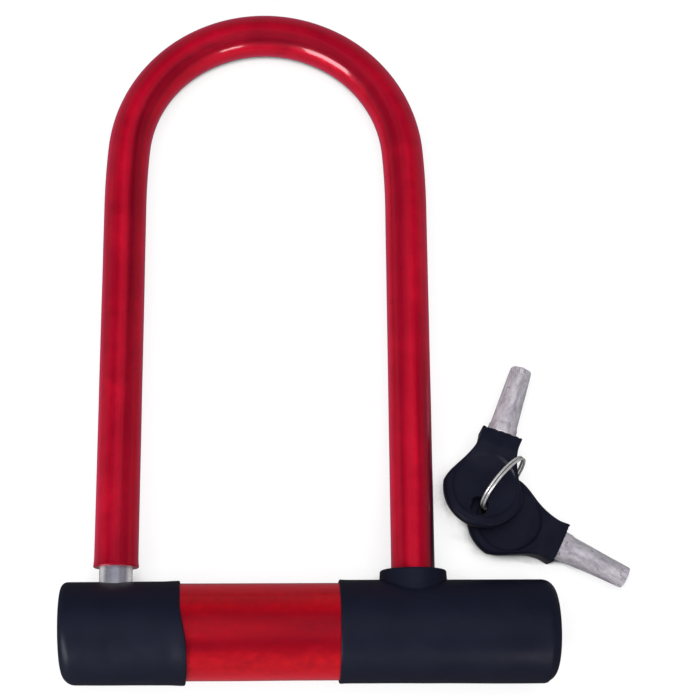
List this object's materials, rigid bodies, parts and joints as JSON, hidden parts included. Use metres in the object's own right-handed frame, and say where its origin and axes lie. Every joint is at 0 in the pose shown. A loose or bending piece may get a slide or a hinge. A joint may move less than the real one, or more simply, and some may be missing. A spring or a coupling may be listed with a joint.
{
  "type": "u lock",
  "caption": "Bicycle U lock: sleeved steel shackle in a round capped crossbar with a turning-bolt cylinder, and tubular keys on a split ring.",
  "frame": {"origin": "on the crossbar's axis, midway between the centre lines of the shackle's two legs", "axes": "+X along the crossbar towards the keyhole, +Y towards the crown of the U, +Z square to the plane of the U and upwards as the lock lies"},
  "size_m": [0.2084, 0.2593, 0.0375],
  "materials": {
    "plated_bar": "bright zinc plated",
    "red_sleeve": "translucent red, glossy",
    "steel_tube": "plain drawn tube",
    "red_band": "translucent red, glossy, mottled",
    "black_cap": "soft vinyl, satin",
    "die_cast": "die-cast zinc",
    "pin_steel": "ground",
    "cylinder_brass": "machined",
    "bolt_steel": "hardened",
    "key_zinc": "die-cast zinc, dull",
    "key_plastic": "satin, moulded",
    "ring_steel": "nickel plated"
  },
  "bodies": {
    "lock_body": {"crossbar_tube": "steel_tube", "crossbar_sleeve": "red_band", "left_cap": "black_cap", "right_cap": "black_cap", "shackle_collar": "black_cap", "foot_block": "die_cast", "leg_block": "die_cast", "cylinder_housing": "die_cast", "block_pins": "pin_steel", "housing_pin": "pin_steel", "cylinder_shell": "cylinder_brass", "pin_barrel": "cylinder_brass", "barrel_pin": "pin_steel", "pin_springs": "pin_steel"},
    "shackle": {"shackle_bar": "plated_bar", "shackle_sleeve": "red_sleeve"},
    "plug": {"plug": "cylinder_brass", "rotary_bolt": "bolt_steel", "bolt_screw": "pin_steel"},
    "key_pins": {"key_pins": "cylinder_brass"},
    "driver_pins": {"driver_pins": "pin_steel"},
    "key_ring": {"key_ring": "ring_steel"},
    "key_a": {"key_a_barrel": "key_zinc", "key_a_bow": "key_plastic"},
    "key_b": {"key_b_barrel": "key_zinc", "key_b_bow": "key_plastic"}
  },
  "joints": [
    {"name": "shackle_slide", "type": "slide", "parent": "lock_body", "child": "shackle", "axis": [0, 1, 0], "range_m": [0, 0.06]},
    {"name": "plug_turn", "type": "hinge", "parent": "lock_body", "child": "plug", "pos_m": [0.07, 0, 0], "axis": [1, 0, 0], "range_deg": [0, 90]},
    {"name": "key_pins_press", "type": "slide", "parent": "plug", "child": "key_pins", "axis": [-1, 0, 0], "range_m": [-0.0014, 0]},
    {"name": "driver_pins_press", "type": "slide", "parent": "lock_body", "child": "driver_pins", "axis": [-1, 0, 0], "range_m": [-0.0014, 0], "deforming": ["pin_springs"]},
    {"name": "keys_lift", "type": "slide", "parent": "lock_body", "child": "key_ring", "axis": [0, 0, 1], "range_m": [0, 0.06]},
    {"name": "key_a_swing", "type": "hinge", "parent": "key_ring", "child": "key_a", "pos_m": [0.07864, 0.04572, -0.0035], "axis": [0.0324, 0.092, 0.9952], "range_deg": [0, 20]},
    {"name": "key_b_swing", "type": "hinge", "parent": "key_ring", "child": "key_b", "pos_m": [0.08351, 0.04571, -0.01036], "axis": [0.05, -0.0247, 0.9984], "range_deg": [-15, 0]}
  ],
  "couplings": [
    {"joint": "driver_pins_press", "follows": "key_pins_press", "ratio": 1}
  ]
}
